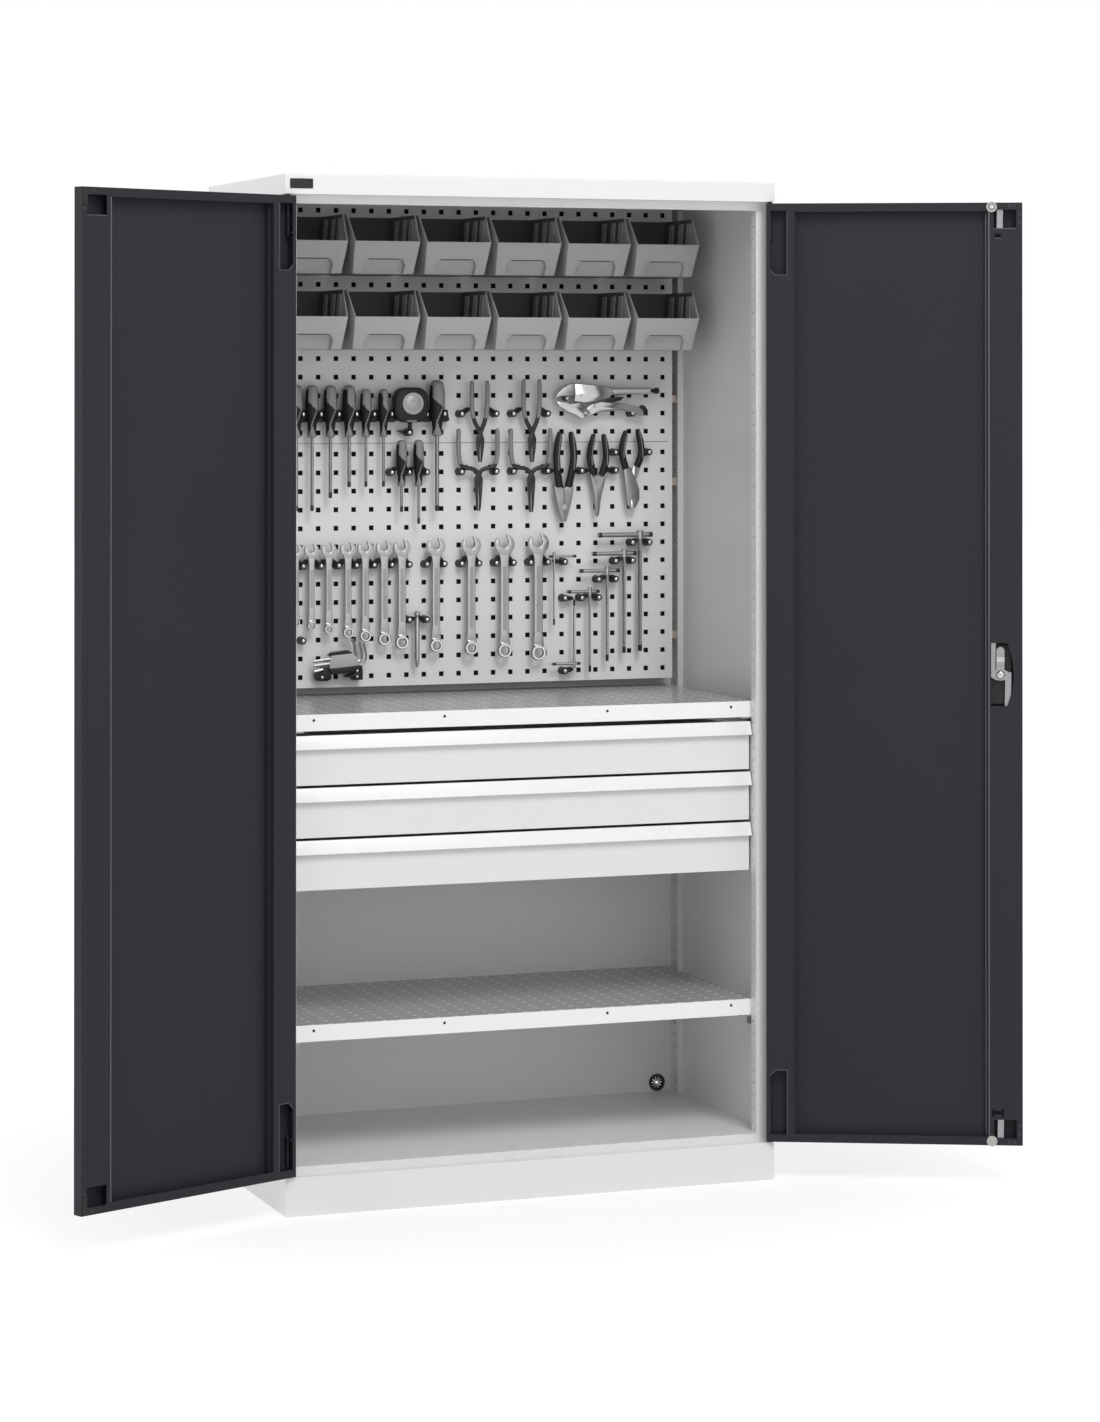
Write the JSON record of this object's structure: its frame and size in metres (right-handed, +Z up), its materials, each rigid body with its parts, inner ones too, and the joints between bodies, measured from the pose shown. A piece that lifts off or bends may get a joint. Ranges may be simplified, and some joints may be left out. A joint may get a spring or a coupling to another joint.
{
  "type": "tool cabinet with hinged doors",
  "caption": "Tall steel cabinet with two hinged doors, perforated tool panels with hung tools and bins, drawers under a worktop shelf, and a lower shelf.",
  "frame": {"origin": "centre of the cabinet's footprint, on the floor, at the underside of the plinth's brace", "axes": "+X to the right seen from the front, +Y to the rear, +Z up"},
  "size_m": [1.9309, 0.7751, 2],
  "materials": {
    "body_paint": "fine textured powder coat, light grey",
    "door_paint": "fine textured powder coat, anthracite",
    "handle_white": "smooth satin lacquer, white",
    "board_paint": "powder coat, light grey",
    "zinc": "zinc plated",
    "bright_steel": "polished chrome",
    "black_plastic": "satin black",
    "bin_plastic": "fine textured grey",
    "grip_plastic": "soft grip",
    "grommet_rubber": "matt",
    "buffer_rubber": "satin"
  },
  "bodies": {
    "cabinet": {"plinth": "body_paint", "floor_pan": "body_paint", "side_panel_left": "body_paint", "side_panel_right": "body_paint", "back_panel": "body_paint", "top_cover": "body_paint", "front_lintel": "body_paint", "rear_upright_left": "body_paint", "rear_upright_right": "body_paint", "worktop_shelf": "body_paint", "lower_shelf": "body_paint", "drawer_carrier_left": "body_paint", "drawer_carrier_right": "body_paint", "pegboard_upper": "board_paint", "pegboard_lower": "board_paint", "pegboard_clips": "zinc", "shelf_brackets": "zinc", "slide_outer_members": "zinc", "combination_wrenches": "bright_steel", "t_handle_keys": "bright_steel", "locking_pliers": "bright_steel", "name_plate": "black_plastic", "pivot_bushes": "black_plastic", "tool_clips": "black_plastic", "hex_key_set": "black_plastic", "bin_row_upper": "bin_plastic", "bin_row_lower": "bin_plastic", "screwdrivers": "grip_plastic", "tape_measure": "grip_plastic", "circlip_pliers": "grip_plastic", "gripping_pliers": "grip_plastic", "cable_grommet": "grommet_rubber"},
    "door_right": {"door_right_skin": "door_paint", "door_right_hinge_stile": "door_paint", "door_right_lock_stile": "door_paint", "door_right_pivot_pins": "zinc", "door_right_buffers": "buffer_rubber", "lock_housing": "black_plastic"},
    "door_left": {"door_left_skin": "door_paint", "door_left_hinge_stile": "door_paint", "door_left_lock_stile": "door_paint", "door_left_pivot_pins": "zinc", "door_left_corner_blocks": "black_plastic"},
    "lock": {"lock_handle": "black_plastic", "lock_cam": "zinc"},
    "upper_rod": {"lock_rod_upper": "zinc"},
    "lower_rod": {"lock_rod_lower": "zinc"},
    "drawer_1": {"drawer_1_box": "body_paint", "drawer_1_front": "body_paint", "drawer_1_handle": "handle_white"},
    "slides_1": {"slide_middle_1": "zinc"},
    "drawer_2": {"drawer_2_box": "body_paint", "drawer_2_front": "body_paint", "drawer_2_handle": "handle_white"},
    "slides_2": {"slide_middle_2": "zinc"},
    "drawer_3": {"drawer_3_box": "body_paint", "drawer_3_front": "body_paint", "drawer_3_handle": "handle_white"},
    "slides_3": {"slide_middle_3": "zinc"}
  },
  "joints": [
    {"name": "right_door_hinge", "type": "hinge", "parent": "cabinet", "child": "door_right", "pos_m": [0.504, -0.2705, 0], "axis": [0, 0, 1], "range_deg": [-155, 25]},
    {"name": "left_door_hinge", "type": "hinge", "parent": "cabinet", "child": "door_left", "pos_m": [-0.504, -0.2705, 0], "axis": [0, 0, -1], "range_deg": [-156.5, 23.5]},
    {"name": "lock_turn", "type": "hinge", "parent": "door_right", "child": "lock", "pos_m": [0.9164, -0.47219, 1.015], "axis": [0.4226, 0.9063, 0], "range_deg": [0, 90]},
    {"name": "upper_rod_travel", "type": "slide", "parent": "door_right", "child": "upper_rod", "axis": [0, 0, 1], "range_m": [0, 0.016]},
    {"name": "lower_rod_travel", "type": "slide", "parent": "door_right", "child": "lower_rod", "axis": [0, 0, -1], "range_m": [0, 0.016]},
    {"name": "drawer_1_travel", "type": "slide", "parent": "cabinet", "child": "drawer_1", "axis": [0, -1, 0], "range_m": [0, 0.4]},
    {"name": "slides_1_travel", "type": "slide", "parent": "cabinet", "child": "slides_1", "axis": [0, -1, 0], "range_m": [0, 0.2]},
    {"name": "drawer_2_travel", "type": "slide", "parent": "cabinet", "child": "drawer_2", "axis": [0, -1, 0], "range_m": [0, 0.4]},
    {"name": "slides_2_travel", "type": "slide", "parent": "cabinet", "child": "slides_2", "axis": [0, -1, 0], "range_m": [0, 0.2]},
    {"name": "drawer_3_travel", "type": "slide", "parent": "cabinet", "child": "drawer_3", "axis": [0, -1, 0], "range_m": [0, 0.4]},
    {"name": "slides_3_travel", "type": "slide", "parent": "cabinet", "child": "slides_3", "axis": [0, -1, 0], "range_m": [0, 0.2]}
  ],
  "couplings": [
    {"joint": "slides_1_travel", "follows": "drawer_1_travel", "ratio": 0.5},
    {"joint": "slides_2_travel", "follows": "drawer_2_travel", "ratio": 0.5},
    {"joint": "slides_3_travel", "follows": "drawer_3_travel", "ratio": 0.5},
    {"joint": "upper_rod_travel", "follows": "lock_turn", "m_per_rad": 0.01018},
    {"joint": "lower_rod_travel", "follows": "lock_turn", "m_per_rad": 0.01018}
  ]
}
